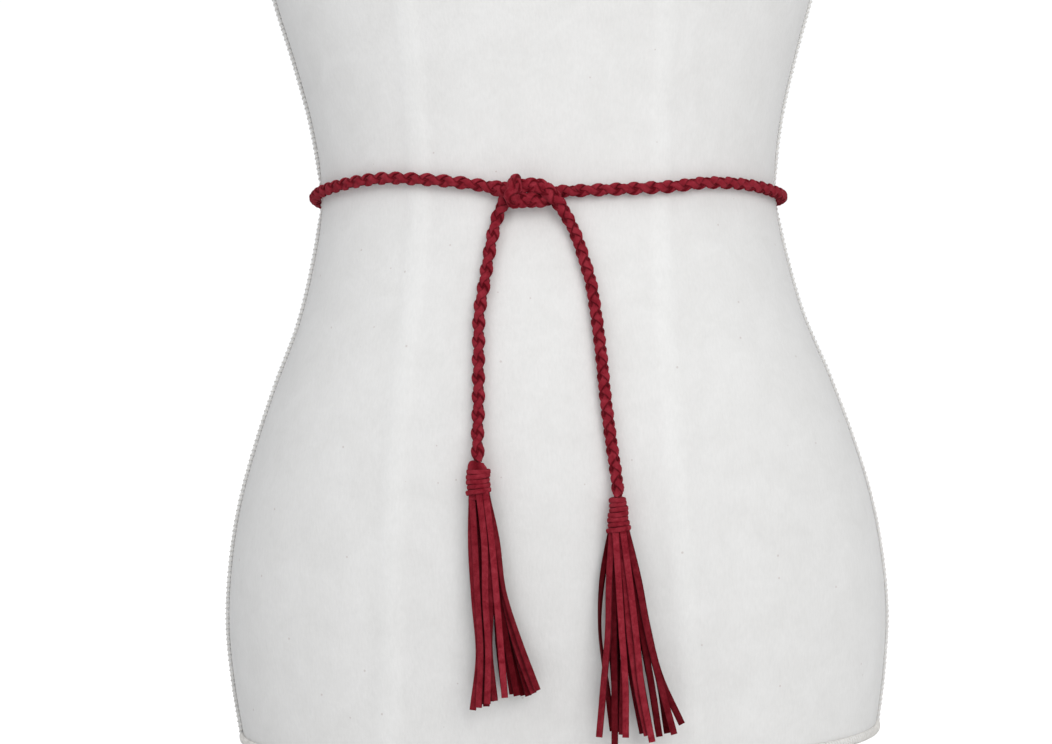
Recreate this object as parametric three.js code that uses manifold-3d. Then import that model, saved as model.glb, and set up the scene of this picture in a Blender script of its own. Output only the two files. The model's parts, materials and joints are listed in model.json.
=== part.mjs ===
// A braided tassel belt, tied with a half knot round a dress form without limbs.
// Millimetres, +Z up. The form faces -Y and stands on z = 0, with its middle on the Z axis.
// The belt is one round braid of four flat suede laces. It starts in the left tassel's head,
// climbs to the knot, goes round the waist and comes back through the knot to the right tassel.

import * as THREE from 'three';
import { mergeVertices } from 'three/addons/utils/BufferGeometryUtils.js';
import Module from 'manifold-3d';

const wasm = await Module();
wasm.setup();

// Clearances
const CLEARANCE = 0.35; // between the belt and the cover of the form
const SEAM_GAP = 0.3; // between two pieces that meet end to end

// Dress form: how far it reaches from the Z axis at each height
const FORM_LEVELS = [
  { z: 0, side: 166.1, front: 104, back: 107 },
  { z: 31, side: 170.6, front: 108, back: 112 },
  { z: 61, side: 172.8, front: 111.5, back: 116.5 },
  { z: 91, side: 170.9, front: 113.5, back: 118 },
  { z: 123, side: 165.4, front: 114.5, back: 117 },
  { z: 155, side: 156.1, front: 114, back: 113.5 },
  { z: 186, side: 145.1, front: 111.5, back: 108 },
  { z: 218, side: 132.4, front: 107, back: 101.5 },
  { z: 245, side: 125.1, front: 101, back: 96.5 },
  { z: 265, side: 121.1, front: 97, back: 93.8 },
  { z: 282, side: 119.4, front: 95, back: 93 },
  { z: 300, side: 120.1, front: 95.5, back: 94 },
  { z: 319, side: 122.8, front: 98, back: 97 },
  { z: 354, side: 131.3, front: 105, back: 103 },
  { z: 388, side: 141.1, front: 113.5, back: 108 },
  { z: 425, side: 149.1, front: 122.5, back: 112 },
  { z: 460, side: 153.7, front: 126, back: 115 },
  { z: 500, side: 155.8, front: 119, back: 117 },
  { z: 545, side: 157.5, front: 104, back: 116 },
  { z: 590, side: 160.8, front: 90, back: 111 },
  { z: 625, side: 167.2, front: 79, back: 102 },
  { z: 646, side: 170, front: 72, back: 93 },
  { z: 655, side: 163, front: 69, back: 87 },
  { z: 663, side: 148, front: 66.5, back: 81 },
  { z: 671, side: 126, front: 64, back: 76 },
  { z: 679, side: 104, front: 62, back: 71 },
  { z: 688, side: 85, front: 60, back: 67 },
  { z: 700, side: 68, front: 58.5, back: 63 },
  { z: 716, side: 60, front: 57, back: 60 },
  { z: 748, side: 58, front: 56, back: 58 },
  { z: 754, side: 55, front: 53, back: 55 },
];
const FORM_SQUARENESS = 2.15; // 2 gives half ellipses, more gives squarer corners
const FORM_SIDES = 41;
const FORM_BANDS = [
  { from: 0, to: 204, rings: 12 },
  { from: 204, to: 336, rings: 12 },
  { from: 336, to: 646, rings: 10 },
  { from: 646, to: 700, rings: 6 },
  { from: 700, to: 748, rings: 2 },
  { from: 748, to: 754, rings: 1 },
];

// Braid: four laces, two round each way, so that it shows a bead at each half pitch
const BRAID_PITCH = 17.5;
const BRAID_RADIUS = 2.75;
const BRAID_RELIEF = 0.5;
const BRAID_SIDES = 8;
const RINGS_PER_PITCH = 8;
const REST_LIFT = BRAID_RADIUS + BRAID_RELIEF + CLEARANCE; // middle of the braid over the cover
const KNOT_FLATNESS = 0.82; // a pulled knot presses the braid flat
const KNOT_SPREAD = 1.3;
const KNOT_RELIEF = 0.6; // share of the braid's relief that is left in the knot
const KNOT_RAMP = 9; // length over which the braid goes from round to pressed

// Heights of the belt round the waist; the angle runs from the front over the right side
const BELT_LEVELS = [
  { angle: 8, z: 276.5 },
  { angle: 25, z: 277.5 },
  { angle: 34, z: 278.5 },
  { angle: 46, z: 281.2 },
  { angle: 60, z: 281.1 },
  { angle: 75, z: 279.5 },
  { angle: 90, z: 279.5 },
  { angle: 135, z: 281 },
  { angle: 180, z: 283 },
  { angle: 225, z: 284 },
  { angle: 270, z: 284 },
  { angle: 300, z: 286.5 },
  { angle: 312, z: 287.3 },
  { angle: 325, z: 285 },
  { angle: 335, z: 282.5 },
  { angle: 342, z: 280.2 },
];
const BELT_POINTS = 38;

// The cord's front stretches: x to the right, z up, lift from the cover to the braid's middle
const TAIL_LEFT_ROUTE = [
  { x: -35.4, z: 149.5, lift: 6.1 },
  { x: -35.4, z: 153.5, lift: 5.9 },
  { x: -35.5, z: 159, lift: 4.6 },
  { x: -34.9, z: 173.5, lift: REST_LIFT },
  { x: -34.5, z: 192, lift: REST_LIFT },
  { x: -34.2, z: 206.2, lift: REST_LIFT },
  { x: -33.7, z: 219, lift: REST_LIFT },
  { x: -31.1, z: 233.6, lift: REST_LIFT },
  { x: -28.4, z: 248.5, lift: REST_LIFT },
  { x: -26.4, z: 257.9, lift: REST_LIFT },
  { x: -23.7, z: 266.8, lift: 3.5 },
];
const KNOT_WRAP_ROUTE = [
  { x: -20.6, z: 272.6, lift: 3.15 },
  { x: -18, z: 276.8, lift: 3 },
  { x: -16, z: 280.2, lift: 4.4 },
  { x: -14.9, z: 281.5, lift: 7.8 },
  { x: -15.2, z: 280.4, lift: 11.2 },
  { x: -16.3, z: 277.4, lift: 12.6 },
  { x: -17.6, z: 274, lift: 11.9 },
  { x: -16, z: 272.1, lift: 9.6 },
  { x: -11, z: 272.6, lift: 7.8 },
  { x: -5.8, z: 272.5, lift: 6.8 },
  { x: -1.8, z: 272.6, lift: 5.6 },
  { x: 1.2, z: 274.2, lift: 4.2 },
  { x: 4.4, z: 276.4, lift: 3.4 },
  { x: 8.8, z: 276.8, lift: 3.2 },
];
const KNOT_BAND_ROUTE = [
  { x: -24.6, z: 278.9, lift: 4.6 },
  { x: -20.2, z: 278, lift: 6.6 },
  { x: -15.8, z: 278.2, lift: 7.6 },
  { x: -11.2, z: 279.3, lift: 7.9 },
  { x: -6.8, z: 279.4, lift: 8 },
  { x: -3, z: 278.7, lift: 8.3 },
  { x: 0, z: 276.6, lift: 8.6 },
  { x: 3.4, z: 272.9, lift: 7.9 },
  { x: 7.7, z: 266.4, lift: 5.4 },
];
const TAIL_RIGHT_ROUTE = [
  { x: 11.7, z: 258.6, lift: 3.8 },
  { x: 14.4, z: 251.3, lift: REST_LIFT },
  { x: 17.1, z: 241.7, lift: REST_LIFT },
  { x: 19.2, z: 234, lift: REST_LIFT },
  { x: 20.4, z: 226.5, lift: REST_LIFT },
  { x: 22.2, z: 211.9, lift: REST_LIFT },
  { x: 23.6, z: 197.4, lift: REST_LIFT },
  { x: 25.1, z: 177.5, lift: REST_LIFT },
  { x: 27.6, z: 154.4, lift: REST_LIFT },
  { x: 28.9, z: 144.5, lift: 4.2 },
  { x: 29.7, z: 136.5, lift: 5.8 },
  { x: 29.8, z: 131.7, lift: 6.1 },
];

// How far the braid is rolled about its own middle, in degrees, at each share of its length:
// 0 shows beads in front, 45 shows two columns of slanting laces
const BRAID_ROLL = [
  { share: 0, roll: 0 },
  { share: 0.108, roll: 0 },
  { share: 0.124, roll: 45 },
  { share: 0.172, roll: 45 },
  { share: 0.188, roll: 0 },
  { share: 0.2, roll: 0 },
  { share: 0.27, roll: 45 },
  { share: 0.4, roll: 45 },
  { share: 0.75, roll: 0 },
  { share: 0.815, roll: 0 },
  { share: 0.83, roll: 45 },
  { share: 1, roll: 45 },
];

// Tassel heads: a core of folded strips, with lace wound round it
const HEAD_SEGMENTS = 16;
const WRAP_PLY = 1.35; // how far the winding stands out from the core
const WRAP_RIDGE = 0.4; // how deep the winding sinks between two turns
const COLLAR_HEIGHT = 3;
const HEAD_LIFT = 6.1; // middle of a head over the cover
const HEAD_LEFT = {
  x: -35.4, top: 149.3, wrapTop: 145.4, bottom: 133.9, turns: 5,
  topRadius: 2.9, shoulderRadius: 4.7, upperCore: 4.1, lowerCore: 4.1, collarRadius: 5.1,
};
const HEAD_RIGHT = {
  x: 29.8, top: 131.5, wrapTop: 130.9, bottom: 114.9, turns: 7,
  topRadius: 3.3, shoulderRadius: 3.4, upperCore: 2.5, lowerCore: 4.1, collarRadius: 5.1,
};

// Tassel strips: flat suede lace, one row for each. A strip's sideways places are given at its
// root, its end and three places between, all from the middle of the head.
const STRIP_WIDTH = 3;
const STRIP_PLY = 1.25;
const STRIP_STEPS = 8;
const LAYER_PITCH = 1.62; // from one layer of strips to the next, layer 0 at the front
const STRIPS_LEFT = [
  { layer: 0, root: 0.3, upper: 2.4, middle: 2.3, lower: 3.2, end: 2.2, endZ: 36.3 },
  { layer: 0, root: 3.4, upper: 5.9, middle: 7.5, lower: 9, end: 10.4, endZ: 39 },
  { layer: 1, root: -3, upper: -1.8, middle: -0.8, lower: 0.1, end: -1.8, endZ: 34.3 },
  { layer: 1, root: 0.1, upper: 2.8, middle: 4.7, lower: 3.9, end: 6.6, endZ: 37.3 },
  { layer: 1, root: 3.3, upper: 8.1, middle: 10.9, lower: 17.6, end: 25.7, endZ: 41.8 },
  { layer: 2, root: -3.1, upper: -3.9, middle: -2.9, lower: -1.4, end: -4.8, endZ: 32.9 },
  { layer: 2, root: 0.3, upper: 5.4, middle: 8.5, lower: 11.8, end: 16, endZ: 39.2 },
  { layer: 2, root: 3.4, upper: 7.9, middle: 10.5, lower: 15.7, end: 23.8, endZ: 40.2 },
  { layer: 3, root: -3, upper: -0.2, middle: 1.2, lower: 2.4, end: 1.5, endZ: 34.2 },
  { layer: 3, root: 0.3, upper: 5.2, middle: 8.2, lower: 11.1, end: 13.9, endZ: 39.7 },
  { layer: 3, root: 3.4, upper: 7.7, middle: 10.2, lower: 15.5, end: 21.4, endZ: 38.8 },
  { layer: 4, root: -3.1, upper: -2.2, middle: -0.6, lower: 0.6, end: -0.2, endZ: 35 },
  { layer: 4, root: 0.1, upper: 4.2, middle: 6.9, lower: 7.9, end: 10.2, endZ: 38.9 },
  { layer: 4, root: 3.3, upper: 7.5, middle: 9.9, lower: 12.6, end: 19.1, endZ: 38.8 },
  { layer: 5, root: -1.7, upper: 0.9, middle: 2.6, lower: 3.4, end: 3.6, endZ: 36 },
  { layer: 5, root: 1.8, upper: 5.6, middle: 8.8, lower: 12.2, end: 18.2, endZ: 39.4 },
];
const STRIPS_RIGHT = [
  { layer: 0, root: -1.7, upper: -0.6, middle: 0.4, lower: 1.5, end: 1.1, endZ: 19.5 },
  { layer: 0, root: 1.8, upper: 4.6, middle: 7, lower: 9.1, end: 13.4, endZ: 17.2 },
  { layer: 1, root: -3.1, upper: -5, middle: -6, lower: -8.6, end: -11.2, endZ: 19.6 },
  { layer: 1, root: 0.1, upper: 2.6, middle: 3.8, lower: 6.6, end: 11.2, endZ: 19.9 },
  { layer: 1, root: 3.3, upper: 8.4, middle: 12.5, lower: 17.8, end: 23.8, endZ: 20.3 },
  { layer: 2, root: -3.1, upper: -2.9, middle: -3.3, lower: -3.5, end: -4, endZ: 12.9 },
  { layer: 2, root: 0.1, upper: 1.2, middle: 1.6, lower: 0.6, end: -0.5, endZ: 20.2 },
  { layer: 2, root: 3.3, upper: 7.3, middle: 10.1, lower: 13.8, end: 17, endZ: 19 },
  { layer: 3, root: -3.2, upper: -8.2, middle: -9.8, lower: -7.3, end: -4.6, endZ: 21.6 },
  { layer: 3, root: 0.1, upper: 2.1, middle: 2.9, lower: 5.2, end: 9.3, endZ: 20.3 },
  { layer: 3, root: 3.4, upper: 8.6, middle: 12.5, lower: 17.8, end: 27.7, endZ: 24.3 },
  { layer: 4, root: -3.1, upper: -3.6, middle: -4.3, lower: -3.5, end: -2, endZ: 20.9 },
  { layer: 4, root: 0.1, upper: 3.6, middle: 6.4, lower: 9.1, end: 12.9, endZ: 20.4 },
  { layer: 4, root: 3.3, upper: 7.9, middle: 11.9, lower: 17.7, end: 20.9, endZ: 19.9 },
  { layer: 5, root: -1.7, upper: -1.4, middle: -2.2, lower: -1.4, end: 0.2, endZ: 21 },
  { layer: 5, root: 1.8, upper: 5.6, middle: 9.4, lower: 13.5, end: 16.8, endZ: 20.6 },
];

// Colours
const COVER_WHITE = 0xe9e8e6;
const SUEDE_RED = 0x73162a;

const wine = new THREE.MeshStandardMaterial({ color: SUEDE_RED, roughness: 0.95, metalness: 0 });
const cover = new THREE.MeshStandardMaterial({ color: COVER_WHITE, roughness: 0.9, metalness: 0 });

// Value of one column of a table at a place between its rows: cubic pieces, and at each row the
// slope of the parabola through that row and its two neighbours
function readColumn(table, key, column, at) {
  const last = table.length - 1;
  const place = THREE.MathUtils.clamp(at, table[0][key], table[last][key]);
  let low = 0;
  while (low < last - 1 && table[low + 1][key] < place) {
    low += 1;
  }
  const rise = (i) => (table[i + 1][column] - table[i][column]) / (table[i + 1][key] - table[i][key]);
  const slope = (i) => {
    if (i === 0) return rise(0);
    if (i === last) return rise(last - 1);
    const before = table[i][key] - table[i - 1][key];
    const after = table[i + 1][key] - table[i][key];
    return (rise(i - 1) * after + rise(i) * before) / (before + after);
  };
  const span = table[low + 1][key] - table[low][key];
  const t = (place - table[low][key]) / span;
  const startWeight = (1 + 2 * t) * (1 - t) * (1 - t);
  const slopeIn = t * (1 - t) * (1 - t) * span;
  const slopeOut = -t * t * (1 - t) * span;
  return startWeight * table[low][column] + (1 - startWeight) * table[low + 1][column]
    + slopeIn * slope(low) + slopeOut * slope(low + 1);
}

// Value of one column between two rows on a straight line
function readStraight(table, key, column, at) {
  const low = Math.max(0, table.findLastIndex((row, i) => row[key] <= at && i < table.length - 1));
  const t = (at - table[low][key]) / (table[low + 1][key] - table[low][key]);
  return THREE.MathUtils.lerp(table[low][column], table[low + 1][column], t);
}

// Reaches of the form at a height; the front half and the back half are different half ellipses
function formReach(z, isFront) {
  return {
    side: readColumn(FORM_LEVELS, 'z', 'side', z),
    depth: readColumn(FORM_LEVELS, 'z', isFront ? 'front' : 'back', z),
  };
}

// Point on the form at an angle from the front, in radians, positive towards +X
function formPoint(angle, z) {
  const { side, depth } = formReach(z, Math.cos(angle) > 0);
  const across = Math.abs(Math.sin(angle) / side) ** FORM_SQUARENESS;
  const along = Math.abs(Math.cos(angle) / depth) ** FORM_SQUARENESS;
  const radius = (across + along) ** (-1 / FORM_SQUARENESS);
  return new THREE.Vector3(radius * Math.sin(angle), -radius * Math.cos(angle), z);
}

// Grows from 0 on the Z axis to 1 on the form's surface and on beyond it
function formFill(point) {
  const { side, depth } = formReach(point.z, point.y < 0);
  return Math.abs(point.x / side) ** FORM_SQUARENESS + Math.abs(point.y / depth) ** FORM_SQUARENESS;
}

// Direction straight out of the form near a point
function outward(point) {
  const step = 0.5;
  const slopes = ['x', 'y', 'z'].map((axis) => {
    const ahead = point.clone();
    const behind = point.clone();
    ahead[axis] += step;
    behind[axis] -= step;
    return formFill(ahead) - formFill(behind);
  });
  return new THREE.Vector3(...slopes).normalize();
}

// Point lifted off the form at an angle round it
function roundForm(angle, z, lift) {
  const point = formPoint(angle, z);
  return point.addScaledVector(outward(point), lift);
}

// Point before the form's front at a chosen x, lifted off the surface that lies behind it
function beforeForm(x, z, lift) {
  const { side, depth } = formReach(z, true);
  const y = -depth * (1 - Math.abs(x / side) ** FORM_SQUARENESS) ** (1 / FORM_SQUARENESS);
  const point = new THREE.Vector3(x, y, z);
  point.y += lift / outward(point).y;
  return point;
}

// Closed body through rings of equally many points, with a flat face at each end
function loft(rings) {
  const sides = rings[0].length;
  const last = (rings.length - 1) * sides;
  const faces = [];
  for (let start = 0; start < last; start += sides) {
    for (let side = 0; side < sides; side += 1) {
      const here = start + side;
      const next = start + (side + 1) % sides;
      faces.push(here, next, next + sides, here, next + sides, here + sides);
    }
  }
  for (let side = 1; side + 1 < sides; side += 1) {
    faces.push(0, side + 1, side);
    faces.push(last, last + side, last + side + 1);
  }
  const geometry = new THREE.BufferGeometry().setFromPoints(rings.flat());
  geometry.setIndex(faces);
  return geometry;
}

// Closed three.js geometry as a solid that can be joined, and a solid as geometry again
function toSolid(geometry) {
  const bare = geometry.clone();
  bare.deleteAttribute('normal');
  bare.deleteAttribute('uv');
  const merged = mergeVertices(bare, 1e-4);
  return new wasm.Manifold(new wasm.Mesh({
    numProp: 3,
    vertProperties: Float32Array.from(merged.attributes.position.array),
    triVerts: Uint32Array.from(merged.index.array),
  }));
}

function toGeometry(solid) {
  const mesh = solid.getMesh();
  const geometry = new THREE.BufferGeometry();
  geometry.setAttribute('position', new THREE.BufferAttribute(mesh.vertProperties, 3));
  geometry.setIndex(new THREE.BufferAttribute(mesh.triVerts, 1));
  return geometry;
}

function joined(geometries) {
  return toGeometry(geometries.map(toSolid).reduce((whole, piece) => whole.add(piece)));
}

// The dress form, level by level
function dressForm() {
  const heights = FORM_BANDS.flatMap(({ from, to, rings }) => (
    Array.from({ length: rings }, (_, i) => THREE.MathUtils.lerp(from, to, i / rings))
  ));
  heights.push(FORM_BANDS.at(-1).to);
  return loft(heights.map((z) => (
    Array.from({ length: FORM_SIDES }, (_, i) => formPoint(2 * Math.PI * i / FORM_SIDES, z))
  )));
}

// The whole cord as one smooth route, and the place along it of each end of its stretches
const onFront = (rows) => rows.map(({ x, z, lift }) => beforeForm(x, z, lift));
const firstAngle = BELT_LEVELS[0].angle;
const lastAngle = BELT_LEVELS.at(-1).angle;
const beltPoints = Array.from({ length: BELT_POINTS }, (_, i) => {
  const angle = THREE.MathUtils.lerp(firstAngle, lastAngle, i / (BELT_POINTS - 1));
  const z = readColumn(BELT_LEVELS, 'angle', 'z', angle);
  return roundForm(THREE.MathUtils.degToRad(angle), z, REST_LIFT);
});
const stretches = [
  onFront(TAIL_LEFT_ROUTE), onFront(KNOT_WRAP_ROUTE), beltPoints,
  onFront(KNOT_BAND_ROUTE), onFront(TAIL_RIGHT_ROUTE),
];
const route = new THREE.CatmullRomCurve3(stretches.flat());
const FINE_STEPS = 24; // steps between two points of the route when its length is measured
route.arcLengthDivisions = (route.points.length - 1) * FINE_STEPS;
const routeLengths = route.getLengths();
const cordLength = routeLengths.at(-1);
const ringStep = BRAID_PITCH / RINGS_PER_PITCH;

// Ring number nearest to a point of the route
const ringAtPoint = (index) => Math.round(routeLengths[index * FINE_STEPS] / ringStep);
const tailLeftPoints = TAIL_LEFT_ROUTE.length;
const wrapEnd = tailLeftPoints + KNOT_WRAP_ROUTE.length;
const beltEnd = wrapEnd + BELT_POINTS - 1;
const bandEnd = beltEnd + KNOT_BAND_ROUTE.length + 1;
const cuts = {
  tailLeft: ringAtPoint(tailLeftPoints - 1),
  beltStart: ringAtPoint(wrapEnd),
  beltEnd: ringAtPoint(beltEnd),
  tailRight: ringAtPoint(bandEnd),
};
const lastRing = Math.floor(cordLength / ringStep);

// Middle, direction and outward side of the cord at a length along it
function station(along) {
  const share = THREE.MathUtils.clamp(along / cordLength, 0, 1);
  const middle = route.getPointAt(share);
  const tangent = route.getTangentAt(share);
  const out = outward(middle);
  out.addScaledVector(tangent, -out.dot(tangent)).normalize();
  return { along, middle, tangent, out };
}

// Within the knot the outward side is carried along without twist, and what is left over at the
// far end is spread evenly
function carryOutward(stations) {
  const aimed = stations.at(-1).out.clone();
  for (let i = 1; i < stations.length; i += 1) {
    const { tangent } = stations[i];
    const carried = stations[i - 1].out.clone();
    stations[i].out = carried.addScaledVector(tangent, -carried.dot(tangent)).normalize();
  }
  const { out, tangent } = stations.at(-1);
  const turned = Math.atan2(out.clone().cross(aimed).dot(tangent), out.dot(aimed));
  const wanted = turned - Math.PI * Math.round(turned / Math.PI);
  stations.forEach((item, i) => {
    item.out.applyAxisAngle(item.tangent, wanted * i / (stations.length - 1));
  });
}

// The braid's outer surface round one station. At a bead it is high in front and behind, half a
// bead on it is high at both sides.
function braidRing({ along, middle, tangent, out }, press) {
  const side = tangent.clone().cross(out);
  const roll = THREE.MathUtils.degToRad(readStraight(BRAID_ROLL, 'share', 'roll', along / cordLength));
  const relief = BRAID_RELIEF * THREE.MathUtils.lerp(1, KNOT_RELIEF, press);
  const bead = relief * Math.cos(4 * Math.PI * along / BRAID_PITCH);
  return Array.from({ length: BRAID_SIDES }, (_, i) => {
    const angle = 2 * Math.PI * i / BRAID_SIDES;
    const radius = BRAID_RADIUS + bead * Math.cos(2 * (angle - roll));
    return middle.clone()
      .addScaledVector(out, radius * Math.cos(angle) * THREE.MathUtils.lerp(1, KNOT_FLATNESS, press))
      .addScaledVector(side, radius * Math.sin(angle) * THREE.MathUtils.lerp(1, KNOT_SPREAD, press));
  });
}

// One stretch of the braid between two rings, half a seam gap short at each end
function braid(firstRing, endRing, inKnot) {
  const start = firstRing * ringStep + SEAM_GAP / 2;
  const end = Math.min(endRing * ringStep, cordLength) - SEAM_GAP / 2;
  const stations = [station(start)];
  for (let ring = firstRing + 1; ring * ringStep < end - ringStep / 2; ring += 1) {
    stations.push(station(ring * ringStep));
  }
  stations.push(station(end));
  if (inKnot) {
    carryOutward(stations);
  }
  return loft(stations.map((item) => {
    const nearEnd = Math.min(item.along - start, end - item.along);
    const press = inKnot ? THREE.MathUtils.smoothstep(nearEnd, 0, KNOT_RAMP) : 0;
    return braidRing(item, press);
  }));
}

// The knot: the wrapping end and the band that it wraps, pulled into one another
function knot() {
  return joined([
    braid(cuts.tailLeft, cuts.beltStart, true),
    braid(cuts.beltEnd, cuts.tailRight, true),
  ]);
}

// A body turned round a head's upright axis, from points of radius and height
function turned(head, outline) {
  const geometry = new THREE.LatheGeometry(
    outline.map(([radius, z]) => new THREE.Vector2(radius, z)),
    HEAD_SEGMENTS,
  );
  geometry.rotateX(Math.PI / 2);
  const middle = beforeForm(head.x, head.bottom, HEAD_LIFT);
  geometry.translate(middle.x, middle.y, 0);
  return geometry;
}

// Radius of the core at a height under the winding
function coreRadius(head, z) {
  return THREE.MathUtils.mapLinear(z, head.wrapTop, head.bottom, head.upperCore, head.lowerCore);
}

// Core of a head: rounded shoulder, waist under the winding, collar that holds the strips' roots
function headCore(head) {
  const shoulder = head.wrapTop + SEAM_GAP;
  const collarTop = head.bottom - SEAM_GAP;
  return turned(head, [
    [0, head.bottom - COLLAR_HEIGHT],
    [head.collarRadius - 0.5, head.bottom - COLLAR_HEIGHT],
    [head.collarRadius, head.bottom - COLLAR_HEIGHT + 0.8],
    [head.collarRadius - 0.2, collarTop],
    [coreRadius(head, head.bottom), collarTop],
    [coreRadius(head, head.wrapTop), shoulder],
    [head.shoulderRadius - 0.1, shoulder + 0.05],
    [head.shoulderRadius, THREE.MathUtils.lerp(shoulder, head.top, 0.5)],
    [head.topRadius, head.top],
    [0, head.top],
  ]);
}

// Winding of a head: a ring with one ridge for each turn of lace
function headWrap(head) {
  const outline = [];
  const turnHeight = (head.wrapTop - head.bottom) / head.turns;
  for (let turn = 0; turn < head.turns; turn += 1) {
    const low = head.bottom + turn * turnHeight;
    const middle = low + turnHeight / 2;
    const outer = (z) => coreRadius(head, z) + SEAM_GAP + WRAP_PLY;
    outline.push([outer(low) - WRAP_RIDGE, low], [outer(middle), middle]);
  }
  const inner = (z) => coreRadius(head, z) + SEAM_GAP;
  outline.push([inner(head.wrapTop) + WRAP_PLY - WRAP_RIDGE, head.wrapTop]);
  outline.push([inner(head.wrapTop), head.wrapTop], [inner(head.bottom), head.bottom]);
  outline.push(outline[0]);
  return turned(head, outline);
}

// One hanging strip: a flat lace that bends sideways from its root to its end
function strip(head, row, layerCount) {
  const rootZ = head.bottom - COLLAR_HEIGHT / 2;
  const length = rootZ - row.endZ;
  const geometry = new THREE.BoxGeometry(STRIP_WIDTH, STRIP_PLY, length, 1, 1, STRIP_STEPS);
  const axis = beforeForm(head.x, head.bottom, HEAD_LIFT);
  const depth = (row.layer - (layerCount - 1) / 2) * LAYER_PITCH;
  const places = [row.root, row.upper, row.middle, row.lower, row.end];
  const line = places.map((x, i) => ({ share: i / (places.length - 1), x }));
  const { position } = geometry.attributes;
  for (let i = 0; i < position.count; i += 1) {
    const share = 0.5 - position.getZ(i) / length;
    position.setXYZ(
      i,
      axis.x + readColumn(line, 'share', 'x', share) + position.getX(i),
      axis.y + depth + position.getY(i),
      rootZ - length * share,
    );
  }
  return geometry;
}

function tassel(head, strips) {
  const layerCount = strips.at(-1).layer + 1;
  return joined([headCore(head), ...strips.map((row) => strip(head, row, layerCount))]);
}

function piece(name, geometry, material) {
  const mesh = new THREE.Mesh(geometry, material.clone());
  mesh.name = name;
  return mesh;
}

const belt = new THREE.Group();
belt.add(piece('dress_form_body', dressForm(), cover));
belt.add(piece('tail_left', braid(0, cuts.tailLeft, false), wine));
belt.add(piece('belt_knot', knot(), wine));
belt.add(piece('belt_loop', braid(cuts.beltStart, cuts.beltEnd, false), wine));
belt.add(piece('tail_right', braid(cuts.tailRight, lastRing + 1, false), wine));
belt.add(piece('head_wrap_left', headWrap(HEAD_LEFT), wine));
belt.add(piece('head_wrap_right', headWrap(HEAD_RIGHT), wine));
belt.add(piece('tassel_left', tassel(HEAD_LEFT, STRIPS_LEFT), wine));
belt.add(piece('tassel_right', tassel(HEAD_RIGHT, STRIPS_RIGHT), wine));

export default belt;
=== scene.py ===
# %% [markdown]
# # A braided tassel belt on a dress form
#
# The belt is one round braid of four flat suede laces, tied with a half knot round the waist of a
# cloth-covered dress form, with a tassel of suede strips at each end. The frame below holds the
# solid of each piece at full size. This lesson dresses those solids: it works every surface
# out with numpy, in millimetres, and turns it into a Blender mesh in metres.

# %% Start
import json
import math

import bpy
import numpy as np
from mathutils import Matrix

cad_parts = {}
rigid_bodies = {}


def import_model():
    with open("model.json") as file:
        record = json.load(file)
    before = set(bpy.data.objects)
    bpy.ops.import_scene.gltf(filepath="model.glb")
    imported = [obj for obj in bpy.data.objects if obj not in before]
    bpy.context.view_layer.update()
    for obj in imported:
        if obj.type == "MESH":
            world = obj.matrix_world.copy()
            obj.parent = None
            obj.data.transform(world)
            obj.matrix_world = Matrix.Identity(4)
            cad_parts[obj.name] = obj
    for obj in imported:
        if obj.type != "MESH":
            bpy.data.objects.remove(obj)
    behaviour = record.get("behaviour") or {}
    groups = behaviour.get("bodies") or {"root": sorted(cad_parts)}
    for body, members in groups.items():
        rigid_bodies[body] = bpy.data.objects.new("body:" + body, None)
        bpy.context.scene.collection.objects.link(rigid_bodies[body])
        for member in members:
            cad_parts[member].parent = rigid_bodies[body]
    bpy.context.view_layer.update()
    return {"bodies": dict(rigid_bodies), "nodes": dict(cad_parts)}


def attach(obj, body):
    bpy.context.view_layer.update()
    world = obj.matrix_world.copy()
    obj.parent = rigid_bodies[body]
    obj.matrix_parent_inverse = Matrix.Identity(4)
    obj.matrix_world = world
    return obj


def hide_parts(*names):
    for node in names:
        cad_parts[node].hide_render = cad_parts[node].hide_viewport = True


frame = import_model()
BODY = sorted(frame["bodies"])[0]
MM = 0.001
rng = np.random.default_rng(7)
print("body:", BODY, "nodes:", len(frame["nodes"]))

# %% [markdown]
# ## Camera
#
# The photograph seems to have been taken from about a metre away, level with the middle of the
# tails, with a short telephoto lens. It looks a little to the left of the form's middle and was
# held slightly askew, so the camera is turned about its own line of sight. It comes first
# because everything after it is judged through it.

# %% Camera
CAMERA_PLACE = (0.0, -1000.0, 190.6)
CAMERA_LENS = 64.4
SENSOR_WIDTH = 36.0
CAMERA_TURN = 0.78  # degrees to the left
CAMERA_LEAN = -1.2  # degrees about the line of sight

camera_data = bpy.data.cameras.new("camera")
camera_data.lens = CAMERA_LENS
camera_data.sensor_width = SENSOR_WIDTH
camera = bpy.data.objects.new("camera", camera_data)
camera.location = [MM * c for c in CAMERA_PLACE]
camera.rotation_mode = "QUATERNION"
Quaternion = type(camera.rotation_quaternion)
to_left = Quaternion((0, 0, 1), math.radians(CAMERA_TURN))
upright = Quaternion((1, 0, 0), math.radians(90.0))
about_sight = Quaternion((0, 0, 1), math.radians(CAMERA_LEAN))
camera.rotation_quaternion = to_left @ upright @ about_sight
bpy.context.scene.collection.objects.link(camera)
bpy.context.scene.camera = camera
print("camera at", tuple(round(c, 3) for c in camera.location), "lens", CAMERA_LENS)

# %% [markdown]
# ## Smooth tables
#
# A dress form has no simple formula, so its sizes are a short table of heights. A smooth line
# through the rows gives every height between them. The same line serves the belt's height round
# the waist and the way each strip of a tassel hangs.

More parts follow.
